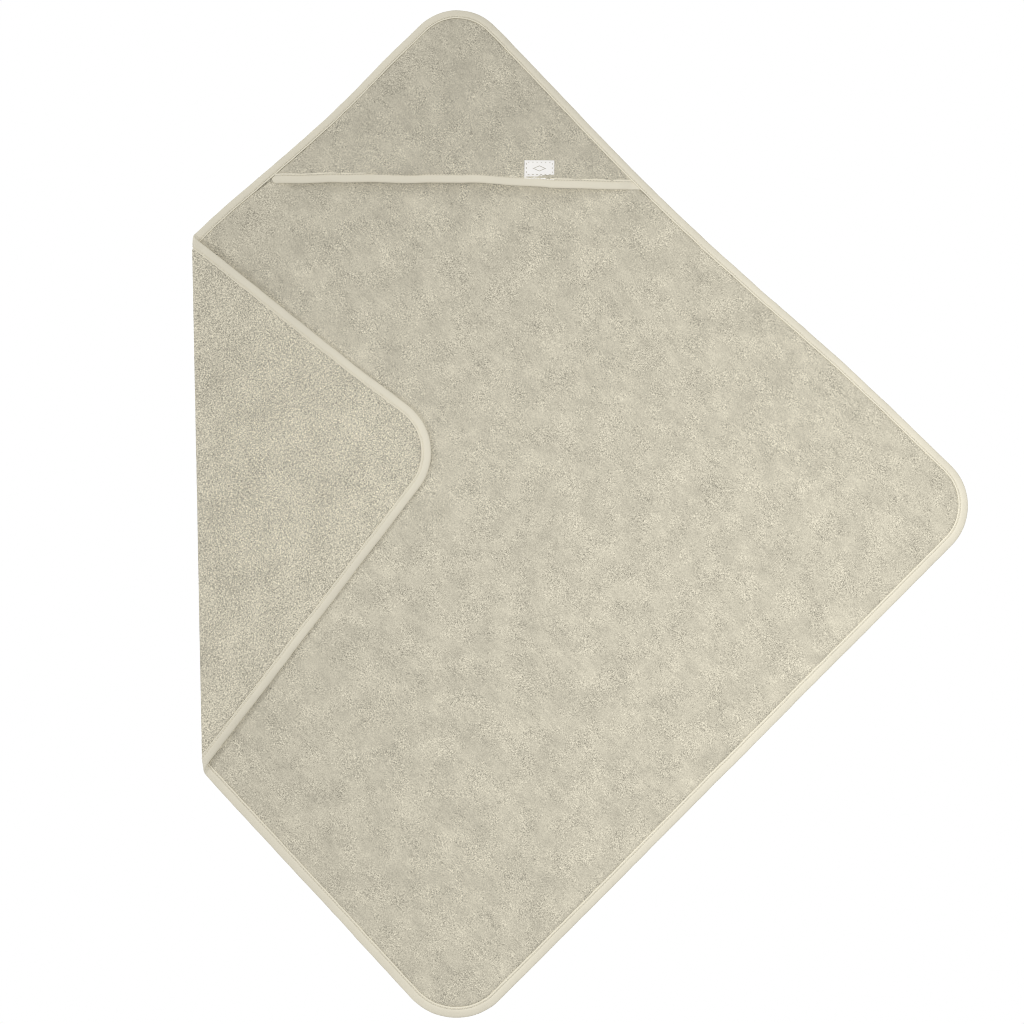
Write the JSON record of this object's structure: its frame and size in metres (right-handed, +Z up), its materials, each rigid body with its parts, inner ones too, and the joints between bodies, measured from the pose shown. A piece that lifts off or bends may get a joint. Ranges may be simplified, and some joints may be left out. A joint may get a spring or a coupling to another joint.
{
  "type": "hooded baby towel",
  "caption": "Square terry bath towel with rounded, tape-bound edges, a hood sewn over one corner and the next corner turned over.",
  "frame": {"origin": "middle of the underside of the towel's box as it lies, on the surface it lies on", "axes": "+Z up, out of the surface it lies on; +Y along its longest extent, towards the hooded corner; +X away from the turned-over corner"},
  "size_m": [0.7794, 1.0122, 0.0146],
  "materials": {
    "terry": "cotton terry, cut pile on the face and loops on the back",
    "tape": "satin-faced binding tape, low sheen",
    "thread": "polyester sewing thread",
    "label": "woven label, matt"
  },
  "bodies": {
    "towel": {"towel_panel": "terry", "edge_binding": "tape", "edge_needle_thread": "thread", "edge_bobbin_thread": "thread", "hood_seam_edge": "terry", "towel_fold": "terry", "binding_fold_upper": "tape", "binding_fold_lower": "tape"},
    "corner": {"corner_panel": "terry", "corner_binding": "tape", "corner_needle_thread": "thread", "corner_bobbin_thread": "thread"},
    "hood": {"hood_panel": "terry", "hood_binding": "tape", "hood_needle_thread": "thread", "hood_bobbin_thread": "thread", "hood_label": "label"}
  },
  "joints": [
    {"name": "corner_fold", "type": "hinge", "parent": "towel", "child": "corner", "pos_m": [-0.3883, 0.28352, 0.0053], "axis": [0.0191, -0.9998, 0], "range_deg": [0, 179.9], "deforming": ["towel_fold", "binding_fold_upper", "binding_fold_lower"]},
    {"name": "hood_lift", "type": "hinge", "parent": "towel", "child": "hood", "pos_m": [-0.1232, 0.4936, 0.0048], "axis": [-0.9997, 0.0233, 0], "range_deg": [0, 16]}
  ]
}
